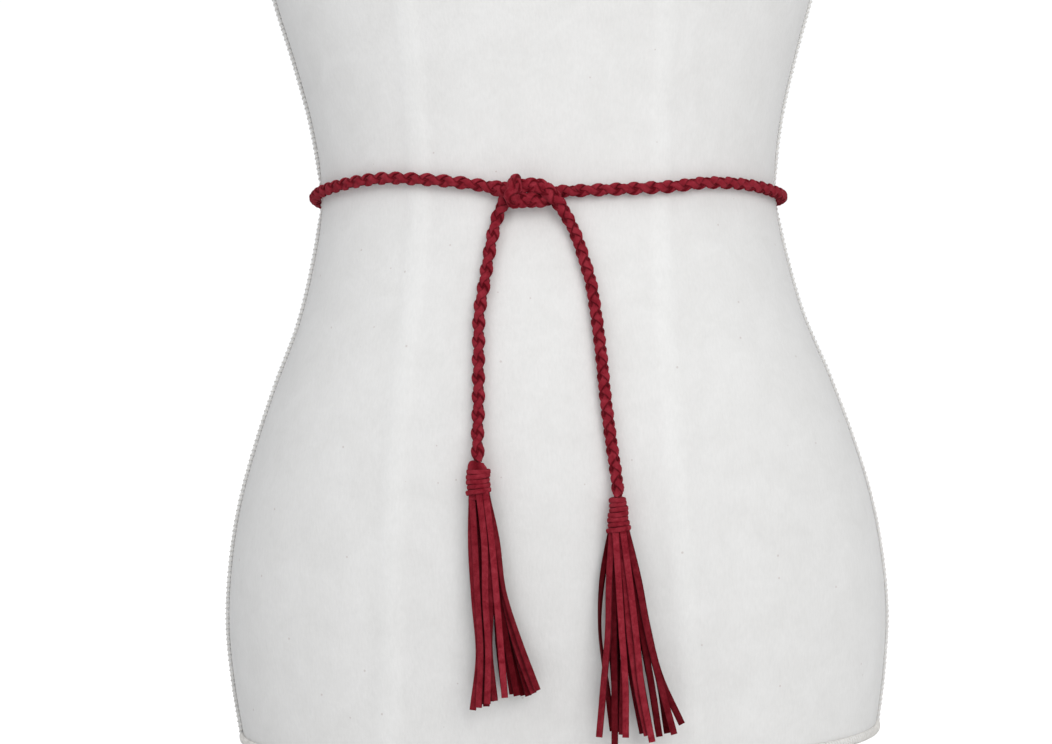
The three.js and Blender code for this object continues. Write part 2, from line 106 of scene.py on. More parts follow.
# %% A smooth line through a table
def through(keys, values, at):
    """Cubic pieces between the rows. The slope at a row is that of the parabola through the row
    and its two neighbours, and the line keeps its end values past the ends."""
    keys, values = np.asarray(keys, float), np.asarray(values, float)
    at = np.clip(np.asarray(at, float), keys[0], keys[-1])
    span = np.diff(keys)
    rise = np.diff(values) / span
    slope = np.concatenate([rise[:1], rise[:-1], rise[-1:]])
    slope[1:-1] = (rise[:-1] * span[1:] + rise[1:] * span[:-1]) / (span[:-1] + span[1:])
    slope[-1] = rise[-1]
    low = np.clip(np.searchsorted(keys, at, side="right") - 1, 0, len(keys) - 2)
    t = (at - keys[low]) / span[low]
    start = (1 + 2 * t) * (1 - t) ** 2
    bend = t * (1 - t) ** 2 * slope[low] - t**2 * (1 - t) * slope[low + 1]
    return start * values[low] + (1 - start) * values[low + 1] + span[low] * bend


# %% The dress form's sizes
# One row for each height: how far the form reaches to the side, to the front and to the back
FORM_LEVELS = np.array([
    (0, 166.1, 104, 107),
    (31, 170.6, 108, 112),
    (61, 172.8, 111.5, 116.5),
    (91, 170.9, 113.5, 118),
    (123, 165.4, 114.5, 117),
    (155, 156.1, 114, 113.5),
    (186, 145.1, 111.5, 108),
    (218, 132.4, 107, 101.5),
    (245, 125.1, 101, 96.5),
    (265, 121.1, 97, 93.8),
    (282, 119.4, 95, 93),
    (300, 120.1, 95.5, 94),
    (319, 122.8, 98, 97),
    (354, 131.3, 105, 103),
    (388, 141.1, 113.5, 108),
    (425, 149.1, 122.5, 112),
    (460, 153.7, 126, 115),
    (500, 155.8, 119, 117),
    (545, 157.5, 104, 116),
    (590, 160.8, 90, 111),
    (625, 167.2, 79, 102),
    (646, 170, 72, 93),
    (655, 163, 69, 87),
    (663, 148, 66.5, 81),
    (671, 126, 64, 76),
    (679, 104, 62, 71),
    (688, 85, 60, 67),
    (700, 68, 58.5, 63),
    (716, 60, 57, 60),
    (748, 58, 56, 58),
    (754, 55, 53, 55),
])
FORM_SQUARENESS = 2.15
FORM_TOP = FORM_LEVELS[-1, 0]


def reaches(z, is_front):
    """Side reach and depth at each height; the front half and the back half differ in depth."""
    height, side, front, back = FORM_LEVELS.T
    depth = np.where(is_front, through(height, front, z), through(height, back, z))
    return through(height, side, z), depth


def form_point(angle, z):
    """Point of the form at an angle from the front, positive towards +X. Its distance from the
    Z axis is (|sin/side|^n + |cos/depth|^n)^(-1/n), a half ellipse that is squared a little."""
    angle, z = np.broadcast_arrays(np.asarray(angle, float), np.asarray(z, float))
    side, depth = reaches(z, np.cos(angle) > 0)
    across = np.abs(np.sin(angle) / side) ** FORM_SQUARENESS
    along = np.abs(np.cos(angle) / depth) ** FORM_SQUARENESS
    radius = (across + along) ** (-1 / FORM_SQUARENESS)
    return np.stack([radius * np.sin(angle), -radius * np.cos(angle), z], axis=-1)


def outward(points):
    """Direction straight out of the form near each point: the slope of |x/side|^n + |y/depth|^n,
    measured half a millimetre to each side along each axis."""
    def fill(p):
        side, depth = reaches(p[..., 2], p[..., 1] < 0)
        return (np.abs(p[..., 0] / side) ** FORM_SQUARENESS
                + np.abs(p[..., 1] / depth) ** FORM_SQUARENESS)

    steps = 0.5 * np.eye(3)
    slopes = np.stack([fill(points + step) - fill(points - step) for step in steps], axis=-1)
    return slopes / np.linalg.norm(slopes, axis=-1, keepdims=True)


def round_form(angle, z, lift):
    """Points lifted straight off the form at angles round it."""
    on_form = form_point(angle, z)
    return on_form + np.asarray(lift, float)[..., None] * outward(on_form)


def before_form(x, z, lift):
    """Points before the form's front at chosen x, at distance lift from the surface behind."""
    side, depth = reaches(z, np.full(np.shape(z), True))
    y = -depth * (1 - np.abs(x / side) ** FORM_SQUARENESS) ** (1 / FORM_SQUARENESS)
    on_form = np.stack([x, y, z], axis=-1)
    on_form[..., 1] += lift / outward(on_form)[..., 1]
    return on_form


def girth(z):
    """Length once round the form at a height."""
    ring = form_point(np.linspace(0, 2 * np.pi, 721), z)
    return np.linalg.norm(np.diff(ring, axis=0), axis=1).sum()


print("waist", round(girth(282.0)), "mm, hips", round(girth(75.0)), "mm")

# %% [markdown]
# ## Skins
#
# Every piece here is made of closed skins: a row of rings, with a fan of triangles over each
# end. One function makes such a skin from a whole array of rings and gives it a UV map whose u
# is the length in metres, so that a material can follow a lace. Skins are then joined into one
# mesh.

# %% Skins and meshes
def skin(rings, lengths=None):
    """Closed skin through rings, an array of ring by point by axis. u is the length along the
    rings, v the share of the way round. Quads join ring to ring and a fan closes each end."""
    count, sides = rings.shape[:2]
    if lengths is None:
        middles = rings.mean(axis=1)
        steps = np.linalg.norm(np.diff(middles, axis=0), axis=1)
        lengths = np.concatenate([[0.0], np.cumsum(steps)])
    ring, side = np.meshgrid(np.arange(count - 1), np.arange(sides), indexing="ij")
    ring, side = ring.ravel(), side.ravel()
    after = (side + 1) % sides
    quads = np.stack([ring * sides + side, ring * sides + after,
                      (ring + 1) * sides + after, (ring + 1) * sides + side], axis=1)
    u = np.stack([lengths[ring], lengths[ring], lengths[ring + 1], lengths[ring + 1]], axis=1)
    v = np.stack([side, side + 1, side + 1, side], axis=1) / sides
    uv = np.stack([u * MM, v], axis=-1)
    first, last = count * sides, count * sides + 1
    ends = np.stack([rings[0].mean(axis=0), rings[-1].mean(axis=0)])
    here = np.arange(sides)
    there = (here + 1) % sides
    top = (count - 1) * sides
    fans = np.concatenate([
        np.stack([np.full(sides, first), there, here], axis=1),
        np.stack([np.full(sides, last), top + here, top + there], axis=1),
    ])
    fan_uv = np.zeros((len(fans), 3, 2))
    fan_uv[:sides, :, 0] = lengths[0] * MM
    fan_uv[sides:, :, 0] = lengths[-1] * MM
    fan_uv[..., 1] = 0.5
    return {"points": np.concatenate([rings.reshape(-1, 3), ends]),
            "quads": quads, "uv": uv, "fans": fans, "fan_uv": fan_uv}


def make_piece(name, skins, material, crease=50.0):
    """One mesh object from several skins, in metres, smooth but for edges sharper than crease.
    A float attribute tells a material how light a skin or its points are, 0.5 if not given:
    their own tone, and on the tassel strips also painted shade on the layers further back."""
    starts = np.cumsum([0] + [len(s["points"]) for s in skins[:-1]])
    points = np.concatenate([s["points"] for s in skins]) * MM
    quads = np.concatenate([s["quads"] + start for s, start in zip(skins, starts)])
    fans = np.concatenate([s["fans"] + start for s, start in zip(skins, starts)])
    uv = np.concatenate([s["uv"].reshape(-1, 2) for s in skins]
                        + [s["fan_uv"].reshape(-1, 2) for s in skins])
    mesh = bpy.data.meshes.new(name)
    mesh.from_pydata(points.tolist(), [], quads.tolist() + fans.tolist())
    mesh.uv_layers.new(name="length").data.foreach_set("uv", uv.ravel())
    tone_and_shade = np.concatenate([np.broadcast_to(s.get("tone_and_shade", 0.5), len(s["points"])) for s in skins])
    mesh.attributes.new("tone_and_shade", "FLOAT", "POINT").data.foreach_set("value", tone_and_shade)
    mesh.shade_smooth()
    mesh.set_sharp_from_angle(angle=math.radians(crease))
    mesh.materials.append(material)
    mesh.update()
    piece = bpy.data.objects.new(name, mesh)
    bpy.context.scene.collection.objects.link(piece)
    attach(piece, BODY)
    print(name, 2 * len(quads) + len(fans), "triangles")
    return piece


# %% Laces carried along a path
def unit(vectors):
    """The same directions with length one."""
    return vectors / np.linalg.norm(vectors, axis=-1, keepdims=True)


def lace_profile(width, ply, cup=0.0, points=12, squareness=4.5):
    """Outline of a lace: x = w/2 cos|cos|^(2/n-1), y = t/2 sin|sin|^(2/n-1), an ellipse at n = 2
    and nearly a rectangle at n = 7, whose edges drop by cup times the square of x."""
    turn = 2 * np.pi * (np.arange(points) + 0.5) / points
    power = 2 / squareness
    x = width / 2 * np.sign(np.cos(turn)) * np.abs(np.cos(turn)) ** power
    y = ply / 2 * np.sign(np.sin(turn)) * np.abs(np.sin(turn)) ** power
    return np.stack([x, y - cup * x**2], axis=1)


def carry(path, face, profile):
    """Rings of a profile carried along a path: one profile for all, or one for each ring. face is
    the side that the flat face looks to; the width lies across the path and across face."""
    tangent = unit(np.gradient(path, axis=0))
    across = unit(np.cross(face, tangent))
    up = np.cross(tangent, across)
    return (path[:, None] + profile[..., :1] * across[:, None]
            + profile[..., 1:] * up[:, None])


# %% [markdown]
# ## Suede
#
# Suede is leather with its soft side out. It drinks the light, shows the nap as slow patches of
# lighter and darker red, and glows a little at grazing angles. A lace's cut edges are darker:
# partly their own deeper colour where there is no nap, partly painted shade of the crevices
# between the laces. The noise reads Object coordinates, so that the patches run across
# neighbouring laces, and the fibres follow each lace through its UV map.

# %% Material helpers
def new_material(name, roughness, **sockets):
    """A principled material with plain values on its sockets, and its node tree."""
    material = bpy.data.materials.new(name)
    material.use_nodes = True
    tree = material.node_tree
    shader = tree.nodes["Principled BSDF"]
    shader.inputs["Roughness"].default_value = roughness
    for socket, value in sockets.items():
        shader.inputs[socket.replace("_", " ")].default_value = value
    return material, tree, shader


def add_node(tree, kind, inputs=None, **settings):
    """A node with its settings, and its inputs filled with values or joined to other sockets."""
    node = tree.nodes.new(kind)
    for key, value in settings.items():
        setattr(node, key, value)
    for key, value in (inputs or {}).items():
        if isinstance(value, bpy.types.NodeSocket):
            tree.links.new(value, node.inputs[key])
        else:
            node.inputs[key].default_value = value
    return node


def ramp(tree, factor, *stops):
    """Colours between stops of place and colour."""
    node = add_node(tree, "ShaderNodeValToRGB", {"Fac": factor})
    elements = node.color_ramp.elements
    while len(elements) < len(stops):
        elements.new(0.5)
    for element, (place, colour) in zip(elements, stops):
        element.position = place
        element.color = (*colour, 1.0)
    return node.outputs["Color"]


def grey(level):
    """A colour whose three parts are the same."""
    return (level, level, level)


def multiply(tree, one, other):
    """The product of two colours."""
    node = add_node(tree, "ShaderNodeMix", data_type="RGBA", blend_type="MULTIPLY")
    node.inputs["Factor"].default_value = 1.0
    tree.links.new(one, node.inputs["A"])
    tree.links.new(other, node.inputs["B"])
    return node.outputs["Result"]


# %% Suede material
SUEDE_DEEP = (0.178, 0.009, 0.0175)
SUEDE_MID = (0.25, 0.019, 0.031)
SUEDE_LIGHT = (0.315, 0.031, 0.047)


def suede(name):
    """Matt wine red suede with a soft nap and fine fibres. Its cut edges are darker, partly their
    own deeper colour and partly painted shade of the crevices between laces; strips further
    back get painted shade.
    """
    material, tree, shader = new_material(
        name, 0.94, Sheen_Weight=0.07, Sheen_Roughness=0.45,
        Sheen_Tint=(0.95, 0.5, 0.55, 1.0), Specular_IOR_Level=0.03)
    place = add_node(tree, "ShaderNodeTexCoord")
    tone_and_shade = add_node(tree, "ShaderNodeTexNoise",
                   {"Vector": place.outputs["Object"], "Scale": 230.0, "Detail": 5.0,
                    "Roughness": 0.66, "Distortion": 0.6})
    colour = ramp(tree, tone_and_shade.outputs["Fac"],
                  (0.32, SUEDE_DEEP), (0.5, SUEDE_MID), (0.68, SUEDE_LIGHT))
    fibre_place = add_node(tree, "ShaderNodeMapping",
                           {"Vector": place.outputs["UV"], "Scale": (900.0, 40.0, 1.0)})
    fibre = add_node(tree, "ShaderNodeTexNoise",
                     {"Vector": fibre_place.outputs["Vector"], "Scale": 1.0, "Detail": 3.0})
    colour = multiply(tree, colour, ramp(tree, fibre.outputs["Fac"],
                                         (0.3, grey(0.86)), (0.7, grey(1.12))))
    # Painted shade: the cut edges, found from the share of the way round each lace, are darkened,
    # partly as their own deeper colour and partly as painted shade of the crevices between the
    # laces.
    shares = add_node(tree, "ShaderNodeSeparateXYZ", {"Vector": place.outputs["UV"]})
    turn = add_node(tree, "ShaderNodeMath",
                    {0: shares.outputs["Y"], 1: 2 * math.tau}, operation="MULTIPLY")
    faced = add_node(tree, "ShaderNodeMath", {0: turn.outputs["Value"]}, operation="COSINE")
    colour = multiply(tree, colour, ramp(tree, faced.outputs["Value"],
                                         (0.0, grey(1.0)), (0.25, (0.95, 0.9, 0.92)),
                                         (1.0, (0.46, 0.24, 0.3))))
    # Painted shade: the float attribute darkens the tassel strips layer by layer towards the back
    # and deepens their red, as shade from the strips in front, on top of each strip's own nap
    # tone.
    nap_and_layer_shade = add_node(tree, "ShaderNodeAttribute", attribute_name="tone_and_shade")
    colour = multiply(tree, colour, ramp(tree, nap_and_layer_shade.outputs["Fac"],
                                         (0.0, (0.3, 0.12, 0.16)), (0.5, grey(1.0)),
                                         (1.0, grey(1.12))))
    tree.links.new(colour, shader.inputs["Base Color"])
    grain = add_node(tree, "ShaderNodeTexNoise",
                     {"Vector": place.outputs["Object"], "Scale": 1500.0, "Detail": 3.0})
    bump = add_node(tree, "ShaderNodeBump",
                    {"Height": grain.outputs["Fac"], "Strength": 0.6, "Distance": 0.0004})
    tree.links.new(bump.outputs["Normal"], shader.inputs["Normal"])
    return material


lace_suede = suede("suede_lace")
strip_suede = suede("suede_strip")

# %% [markdown]
# ## The cord's route
#
# The braid starts in the left tassel's head, climbs the form, makes the knot's wrap, goes round
# the waist, comes back as the knot's band and falls to the right head. Its points are the ones
# that the solids were made from. Each point says how far the braid's middle is lifted off the
# cover, which keeps the cord out of it.

# %% Braid sizes
BRAID_PITCH = 17.5  # a lace goes once round the braid in this length
BRAID_RADIUS = 2.75
BRAID_RELIEF = 0.5
CLEARANCE = 0.35
REST_LIFT = BRAID_RADIUS + BRAID_RELIEF + CLEARANCE
RING_STEP = BRAID_PITCH / 8  # the solids' stretches end on these steps
KNOT_FLATNESS = 0.82
KNOT_SPREAD = 1.55
KNOT_RELIEF = 0.6  # share of the braid's swelling that is left in the knot
KNOT_RAMP = 9.0  # length over which the braid is pressed as it enters the knot
KNOT_LEAVE = 24.0  # and over which it grows round again

# %% Points of the route
# Rows of x, z and lift
TAIL_LEFT_ROUTE = np.array([
    (-35.4, 149.5, 6.1), (-35.4, 153.5, 5.9), (-35.5, 159, 4.6), (-34.9, 173.5, REST_LIFT),
    (-34.5, 192, REST_LIFT), (-34.2, 206.2, REST_LIFT), (-33.7, 219, REST_LIFT),
    (-31.1, 233.6, REST_LIFT), (-28.4, 248.5, REST_LIFT), (-26.4, 257.9, REST_LIFT),
    (-23.7, 266.8, 3.5),
])
KNOT_WRAP_ROUTE = np.array([
    (-20.6, 272.6, 3.15), (-18, 276.8, 3), (-16, 280.2, 4.4), (-14.9, 281.5, 7.8),
    (-15.2, 280.4, 11.2), (-16.3, 277.4, 12.6), (-17.6, 274, 11.9), (-16, 272.1, 9.6),
    (-11, 272.6, 7.8), (-5.8, 272.5, 6.8), (-1.8, 272.6, 5.6), (1.2, 274.2, 4.2),
    (4.4, 276.4, 3.4), (8.8, 276.8, 3.2),
])
KNOT_BAND_ROUTE = np.array([
    (-24.6, 278.9, 4.6), (-20.2, 278, 6.6), (-15.8, 278.2, 7.6), (-11.2, 279.3, 7.9),
    (-6.8, 279.4, 8), (-3, 278.7, 8.3), (0, 276.6, 8.6), (3.4, 272.9, 7.9),
    (7.7, 266.4, 5.4),
])
TAIL_RIGHT_ROUTE = np.array([
    (11.7, 258.6, 3.8), (14.4, 251.3, REST_LIFT), (17.1, 241.7, REST_LIFT),
    (19.2, 234, REST_LIFT), (20.4, 226.5, REST_LIFT), (22.2, 211.9, REST_LIFT),
    (23.6, 197.4, REST_LIFT), (25.1, 177.5, REST_LIFT), (27.6, 154.4, REST_LIFT),
    (28.9, 144.5, 4.2), (29.7, 136.5, 5.8), (29.8, 131.7, 6.1),
])
# Rows of angle from the front and height, going round over the right side
BELT_LEVELS = np.array([
    (8, 276.5), (25, 277.5), (34, 278.5), (46, 281.2), (60, 281.1), (75, 279.5),
    (90, 279.5), (135, 281), (180, 283), (225, 284), (270, 284), (300, 286.5),
    (312, 287.3), (325, 285), (335, 282.5), (342, 280.2),
])
BELT_POINTS = 38
# Rows of share of the cord's length and roll in degrees: 0 shows beads in front, 45 two columns
BRAID_ROLL = np.array([
    (0, 0), (0.108, 0), (0.124, 45), (0.172, 45), (0.188, 0), (0.2, 0), (0.27, 45), (0.4, 45),
    (0.75, 0), (0.815, 0), (0.83, 45), (1, 45),
])


# %% The route as one smooth line
def rounded_route(points, steps):
    """Centripetal Catmull-Rom line. Between two points it is a cubic whose end slopes weigh the
    neighbouring spans by the square roots of their lengths."""
    ends = (2 * points[:1] - points[1:2], 2 * points[-1:] - points[-2:-1])
    p = np.concatenate([ends[0], points, ends[1]])
    p0, p1, p2, p3 = p[:-3], p[1:-2], p[2:-1], p[3:]
    d0, d1, d2 = (np.sqrt(np.linalg.norm(b - a, axis=1))[:, None]
                  for a, b in ((p0, p1), (p1, p2), (p2, p3)))
    m1 = d1 * ((p1 - p0) / d0 - (p2 - p0) / (d0 + d1) + (p2 - p1) / d1)
    m2 = d1 * ((p2 - p1) / d1 - (p3 - p1) / (d1 + d2) + (p3 - p2) / d2)
    t = (np.arange(steps) / steps)[None, :, None]
    p1, p2, m1, m2 = (a[:, None] for a in (p1, p2, m1, m2))
    line = (p1 + t * m1 + t**2 * (3 * (p2 - p1) - 2 * m1 - m2)
            + t**3 * (2 * (p1 - p2) + m1 + m2))
    return np.concatenate([line.reshape(-1, 3), points[-1:]])


ROUTE_STEPS = 40
belt_angles = np.linspace(BELT_LEVELS[0, 0], BELT_LEVELS[-1, 0], BELT_POINTS)
belt_heights = through(BELT_LEVELS[:, 0], BELT_LEVELS[:, 1], belt_angles)
belt_middle = round_form(np.radians(belt_angles), belt_heights, np.full(BELT_POINTS, REST_LIFT))
route_points = np.concatenate([
    before_form(*TAIL_LEFT_ROUTE.T), before_form(*KNOT_WRAP_ROUTE.T), belt_middle,
    before_form(*KNOT_BAND_ROUTE.T), before_form(*TAIL_RIGHT_ROUTE.T),
])
route = rounded_route(route_points, ROUTE_STEPS)
route_length = np.concatenate([[0], np.cumsum(np.linalg.norm(np.diff(route, axis=0), axis=1))])
cord_length = route_length[-1]


def cut_at(point_number):
    """Length along the cord of the solids' cut nearest to a point of the route."""
    return RING_STEP * round(route_length[point_number * ROUTE_STEPS] / RING_STEP)


wrap_end = len(TAIL_LEFT_ROUTE) + len(KNOT_WRAP_ROUTE)
belt_end = wrap_end + BELT_POINTS - 1
band_end = belt_end + len(KNOT_BAND_ROUTE) + 1
CUTS = {"tail_left": cut_at(len(TAIL_LEFT_ROUTE) - 1), "belt_start": cut_at(wrap_end),
        "belt_end": cut_at(belt_end), "tail_right": cut_at(band_end)}
print("cord", round(cord_length), "mm, cuts", {k: round(v, 1) for k, v in CUTS.items()})

# %% [markdown]
# ## The braid
#
# In a round braid of four, two laces run right-handed and two left-handed, and each goes over
# one and under the next. So a lace is a helix whose distance from the middle swells and shrinks
# twice a turn. Right-handed laces are out where left-handed ones are in. The braid carries a
# side that faces away from the form along with it, and only in the knot, where it turns over, is
# that side carried along without twist.

# %% Frames along the cord
STATIONS_PER_PITCH = 20
TANGENT_REACH = 0.4  # how far ahead and behind the direction is measured


def carry_side(side, tangent):
    """Carries the first side along without twist, then spreads what is left over at the end
    evenly. A braid looks the same after half a turn, so half turns don't count."""
    aimed = side[-1].copy()
    for i in range(1, len(side)):
        side[i] = unit(side[i - 1] - tangent[i] * (side[i - 1] @ tangent[i]))
    over = math.atan2(np.cross(side[-1], aimed) @ tangent[-1], side[-1] @ aimed)
    over -= math.pi * round(over / math.pi)
    turn = over * np.linspace(0, 1, len(side))[:, None]
    return side * np.cos(turn) + np.cross(tangent, side) * np.sin(turn)


def stretch(start, end, in_knot=False):
    """Stations of the cord from one length to another: place, direction, side and pressing."""
    count = max(2, round((end - start) / BRAID_PITCH * STATIONS_PER_PITCH)) + 1
    along = np.linspace(start, end, count)
    middle = np.stack([np.interp(along, route_length, route[:, i]) for i in range(3)], axis=1)
    ahead, behind = along + TANGENT_REACH, along - TANGENT_REACH
    tangent = unit(np.stack([np.interp(ahead, route_length, route[:, i])
                             - np.interp(behind, route_length, route[:, i])
                             for i in range(3)], axis=1))
    side = outward(middle)
    side = unit(side - tangent * np.sum(side * tangent, axis=1, keepdims=True))
    press = np.zeros(count)
    if in_knot:
        side = carry_side(side, tangent)
        near = np.minimum((along - start) / KNOT_RAMP, (end - along) / KNOT_LEAVE).clip(0, 1)
        press = near**2 * (3 - 2 * near)
    return {"along": along, "middle": middle, "tangent": tangent, "side": side, "press": press}


# %% Four laces of a braid
LACE_WIDTH = 3.5
LACE_PLY = 1.75  # in the braid the soft laces bulge into one another
LACE_ORBIT = 1.6
LACE_SWELL = 0.82
LACE_CUP = 0.06
LACE_SQUARENESS = 2.7
KNOT_LACE_WIDTH = 4.4  # pulled tight, the laces are pressed wide
KNOT_LACE_PLY = 2.1  # and fill the knot


def braid_laces(stations):
    """Four laces along a stretch. Each lace's angle is hand * 2 pi s / pitch + start + roll, and
    its distance from the middle is orbit + hand * swell * cos(2 (angle - roll))."""
    along, middle, press = stations["along"], stations["middle"], stations["press"]
    side, cross = stations["side"], np.cross(stations["tangent"], stations["side"])
    roll = np.radians(np.interp(along / cord_length, *BRAID_ROLL.T))
    flat = (1 + (KNOT_FLATNESS - 1) * press)[:, None]
    wide = (1 + (KNOT_SPREAD - 1) * press)[:, None]
    laces = []
    for hand in (1, -1):
        for start in (0.0, math.pi):
            turn = hand * 2 * np.pi * along / BRAID_PITCH + start
            swell = LACE_SWELL * (1 + (KNOT_RELIEF - 1) * press)
            orbit = LACE_ORBIT + hand * swell * np.cos(2 * turn)
            angle = (turn + roll)[:, None]
            out = side * np.cos(angle) * flat + cross * np.sin(angle) * wide
            path = middle + orbit[:, None] * out
            profile = lace_profile(1.0, 1.0, 0.0, 14, LACE_SQUARENESS)
            width = LACE_WIDTH + (KNOT_LACE_WIDTH - LACE_WIDTH) * press[:, None]
            ply = LACE_PLY + (KNOT_LACE_PLY - LACE_PLY) * press[:, None]
            across = width * profile[None, :, 0]
            ring = np.stack([across, ply * profile[None, :, 1] - LACE_CUP * across**2], axis=-1)
            laces.append(skin(carry(path, unit(out), ring), along))
    return laces


# %% Braid stretches
tail_left_run = stretch(0.0, CUTS["tail_left"])
wrap_run = stretch(CUTS["tail_left"], CUTS["belt_start"], in_knot=True)
belt_run = stretch(CUTS["belt_start"], CUTS["belt_end"])
band_run = stretch(CUTS["belt_end"], CUTS["tail_right"], in_knot=True)
tail_right_run = stretch(CUTS["tail_right"], cord_length)

belt_braid = make_piece("belt_braid", braid_laces(belt_run), lace_suede)
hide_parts("belt_loop")
knot_braid = make_piece("knot_braid", braid_laces(wrap_run) + braid_laces(band_run),
                        lace_suede)
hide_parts("belt_knot")
tail_left_braid = make_piece("tail_left_braid", braid_laces(tail_left_run),
                             lace_suede)
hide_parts("tail_left")
tail_right_braid = make_piece("tail_right_braid", braid_laces(tail_right_run),
                              lace_suede)
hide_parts("tail_right")

# %% [markdown]
# ## Tassel heads
#
# A tassel is a bundle of strips folded over the cord's end and wound tight with one more lace.
# The lace winds down in flat turns that don't quite lie in line, and its cut end stands off at
# the lower left. Above the winding the left head shows the folds of its strips as a sloping
# shoulder, which the cord parts in the middle. A lathe would make plain rings here, so the
# winding is a real helix instead.

# %% Head sizes
HEAD_LIFT = 6.1
WRAP_PLY = 1.35
HEADS = {
    "left": {"x": -35.4, "top": 149.3, "wrap_top": 145.4, "bottom": 133.9, "turns": 5,
             "upper_core": 4.0, "lower_core": 4.1, "shoulder": 4.6, "folds": 7,
             "parting": 18.0, "slope": 0.5, "waver": 0.3, "shift": 0.7},
    "right": {"x": 29.8, "top": 131.5, "wrap_top": 130.9, "bottom": 114.9, "turns": 7,
              "upper_core": 2.3, "lower_core": 4.1, "shoulder": 3.2, "folds": 5,
              "parting": 0.0, "slope": 0.0, "waver": 0.32, "shift": 0.0},
}


def head_axis(head):
    """x and y of the upright line through a head."""
    return before_form(np.array([head["x"]]), np.array([head["bottom"]]), HEAD_LIFT)[0, :2]


# %% Windings
WRAP_OVERLAP = 1.05  # width of the winding's lace in pitches
WRAP_BULGE = 1.6  # its thickness when pulled tight
WRAP_STUB = 2.4  # length of the loose end
END_ANGLE = -50.0  # where the winding ends, in degrees from the front, below 0 on the left
START_ANGLE = 62.0  # where its first turn starts at the top, on the right
TUCK = 0.8  # how far that start is tucked into the head
TUCK_ANGLE = 1.2  # over this angle, in radians
STATIONS_PER_TURN = 44


def winding(head):
    """A flat lace in a falling helix: the angle runs down to END_ANGLE, the radius is the core's
    with a slow waver from turn to turn, and the lace leaves the circle on its tangent."""
    pitch = (head["wrap_top"] - head["bottom"]) / head["turns"]
    end = math.radians(END_ANGLE)
    start = math.radians(START_ANGLE) + 2 * np.pi * head["turns"]
    angle = np.linspace(start, end, STATIONS_PER_TURN * head["turns"])
    turns_left = (angle - end) / (2 * np.pi)
    z = head["bottom"] + pitch * (0.5 + turns_left) + 0.12 * np.sin(2.3 * angle)
    z = np.minimum(z, head["wrap_top"] - 0.45 * pitch)
    share = (head["wrap_top"] - z) / (head["wrap_top"] - head["bottom"])
    core = head["upper_core"] + (head["lower_core"] - head["upper_core"]) * share
    radius = core + 0.2 + WRAP_PLY / 2 + head["waver"] * np.sin(0.73 * angle + 0.6)
    radius = radius - TUCK * np.clip(1 - (start - angle) / TUCK_ANGLE, 0, 1) ** 2
    out = np.stack([np.sin(angle), -np.cos(angle), np.zeros(len(angle))], axis=1)
    path = np.append(head_axis(head), 0.0) + radius[:, None] * out
    path[:, 2] += z
    leave = unit(path[-1] - path[-2])
    drop = np.linspace(0.1, 1, 6)[:, None]
    stub = path[-1] + WRAP_STUB * drop * leave - [0, 0, 0.5] * drop**2
    path = np.concatenate([path, stub])
    face = np.concatenate([out, np.repeat(out[-1:], len(stub), axis=0)])
    profile = lace_profile(WRAP_OVERLAP * pitch, WRAP_BULGE, 0.03, points=16, squareness=2.6)
    return skin(carry(path, face, profile))


# %% Cores and folded shoulders
CORE_COLUMNS = 96
FOLD_DEPTH = 0.1  # as shares of the radius
PARTING_DEPTH = 0.22
PARTING_WIDTH = 0.2  # in radians
SLOPE_PEAK = -70.0  # where the top is highest, in degrees from the front


def head_core(head):
    """The bundle inside the winding and its shoulder. radius = outline(z) * (1 - dips), and the
    top slopes: z = z + slope * cos(angle - peak) above the winding."""
    x, y = head_axis(head)
    top, wrap_top, bottom = head["top"], head["wrap_top"], head["bottom"]
    rise = top - wrap_top
    z = np.concatenate([np.linspace(bottom - 2.4, wrap_top - 1.6, 8),
                        wrap_top + rise * np.linspace(-0.25, 1.0, 16)])
    shoulder = head["shoulder"]
    outline = through(
        [bottom - 2.5, bottom, wrap_top - 1.6, wrap_top, wrap_top + 0.35 * rise,
         wrap_top + 0.7 * rise, wrap_top + 0.9 * rise, wrap_top + rise],
        [4.3, head["lower_core"], head["upper_core"], shoulder, shoulder - 0.2,
         shoulder - 0.9, shoulder - 1.5, shoulder - 2.6], z)
    angle = np.linspace(0, 2 * np.pi, CORE_COLUMNS + 1)[:-1]
    showing = np.clip((z - wrap_top) / rise + 0.4, 0, 1)[:, None]
    folds = 0.5 + 0.5 * np.cos(head["folds"] * angle[None, :] + 0.9 * np.sin(angle)[None, :])
    parting = np.exp(-((angle[None, :] - np.radians(head["parting"])) / PARTING_WIDTH) ** 2)
    dips = FOLD_DEPTH * folds**8 + PARTING_DEPTH * parting
    radius = outline[:, None] * (1 - showing * dips)
    slope = head["slope"] * np.clip((z - wrap_top) / rise, 0, 1)[:, None]
    height = z[:, None] + slope * np.cos(angle[None, :] - np.radians(SLOPE_PEAK))
    x = x - head["shift"] * showing
    rings = np.stack([x + radius * np.sin(angle), y - radius * np.cos(angle), height], axis=-1)
    return skin(rings)


for side_name, head in HEADS.items():
    make_piece(f"winding_{side_name}", [winding(head)],
                                  lace_suede)
    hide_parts(f"head_wrap_{side_name}")

# %% [markdown]
# ## Tassel strips
#
# The strips are the same suede, cut flat and straight. They hang in six layers, start bunched
# under the winding and fan out as they fall, mostly towards the right. Each strip has its own
# row: its layer, five places sideways on its way down, the height of its end, and how far it has
# turned in the middle and at its end.

# %% Strip rows
STRIP_WIDTH = 3.1
STRIP_PLY = 1.15
LAYER_PITCH = 1.62
LAYERS = 6
COLLAR_HEIGHT = 3.0
ROOT_DEPTH = 3.0  # how far a strip's root reaches up into the winding, from the collar's middle
STRIP_STATIONS = 45
FRONT_SHADE = 0.41  # nap of the strips in the front layer
LAYER_PAINTED_SHADE = 0.1  # painted shade: how much darker each layer behind it is
SHADE_SPREAD = 0.15  # how far a strip may differ from its layer
